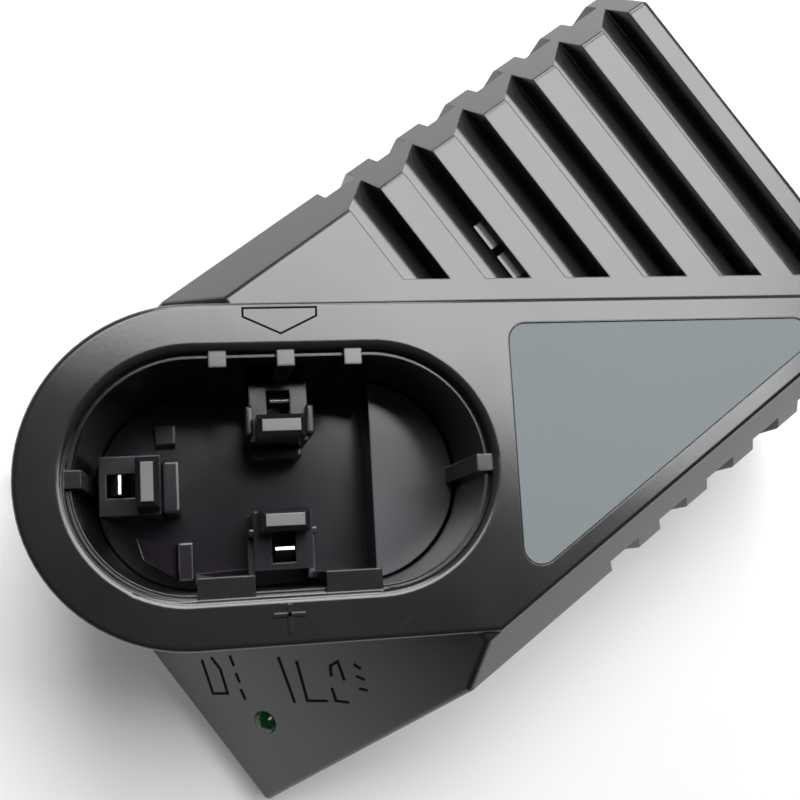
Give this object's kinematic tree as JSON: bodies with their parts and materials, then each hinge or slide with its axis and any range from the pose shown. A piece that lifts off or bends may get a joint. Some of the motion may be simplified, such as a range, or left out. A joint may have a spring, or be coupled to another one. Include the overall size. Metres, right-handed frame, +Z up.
{
  "type": "power tool battery charger",
  "caption": "Desktop charger for a stick-type power tool pack: sloped box with a slanted racetrack well, sprung contacts, cooling grooves and a blank label.",
  "frame": {"origin": "on the surface the feet stand on, under the middle of the bounding box", "axes": "+X along the long axis from the nose and its indicator slope to the cord-inlet end, +Y to the grooved long side, +Z up"},
  "size_m": [0.1422, 0.0838, 0.062],
  "materials": {
    "housing_top": "semi-gloss moulded ABS, near black",
    "housing_base": "semi-gloss moulded ABS, near black",
    "carrier_plastic": "smooth dark thermoplastic",
    "contact_metal": "nickel-plated spring strip",
    "label_face": "satin blue-grey film, blank",
    "lens_green": "translucent green",
    "led_body": "clear green epoxy",
    "foot_rubber": "soft black rubber",
    "screw_steel": "zinc-plated steel",
    "board_laminate": "solder mask",
    "ferrite": "sintered ferrite",
    "bobbin_plastic": "moulded bobbin",
    "copper_winding": "enamelled copper under tape",
    "capacitor_sleeve": "heat-shrink sleeve",
    "film_case": "boxed film capacitor",
    "heat_sink_aluminium": "extruded",
    "package_epoxy": "moulded epoxy",
    "fuse_glass": "fuse body",
    "insulation_white": "white insulating sheet"
  },
  "bodies": {
    "housing": {"upper_housing": "housing_top", "lower_housing": "housing_base", "contact_carrier": "carrier_plastic", "label_plate": "label_face", "status_lens": "lens_green", "status_led": "led_body", "rubber_feet": "foot_rubber", "housing_screws": "screw_steel", "carrier_screws": "screw_steel", "board_screws": "screw_steel", "contact_board": "board_laminate", "circuit_board": "board_laminate", "transformer_core": "ferrite", "transformer_bobbin": "bobbin_plastic", "transformer_coil": "copper_winding", "bulk_capacitor": "capacitor_sleeve", "output_capacitors": "capacitor_sleeve", "film_capacitor": "film_case", "primary_heat_sink": "heat_sink_aluminium", "power_transistor": "package_epoxy", "rectifier_diode": "package_epoxy", "choke": "ferrite", "fuse": "fuse_glass", "controller_chip": "package_epoxy", "optocoupler": "package_epoxy", "insulation_sheet": "insulation_white"},
    "spring_left": {"contact_spring_left": "contact_metal"},
    "spring_rear": {"contact_spring_rear": "contact_metal"},
    "spring_front": {"contact_spring_front": "contact_metal"}
  },
  "joints": [
    {"name": "contact_left_flex", "type": "hinge", "parent": "housing", "child": "spring_left", "pos_m": [-0.05422, 0.02128, 0.0275], "axis": [0.5743, 0.8187, 0], "range_deg": [0, 4], "stiffness_Nm_per_rad": 0.4},
    {"name": "contact_rear_flex", "type": "hinge", "parent": "housing", "child": "spring_rear", "pos_m": [-0.02442, 0.01675, 0.0275], "axis": [0.8187, -0.5743, 0], "range_deg": [0, 4], "stiffness_Nm_per_rad": 0.4},
    {"name": "contact_front_flex", "type": "hinge", "parent": "housing", "child": "spring_front", "pos_m": [-0.03907, -0.00413, 0.0275], "axis": [-0.8187, 0.5743, 0], "range_deg": [0, 4], "stiffness_Nm_per_rad": 0.4}
  ]
}
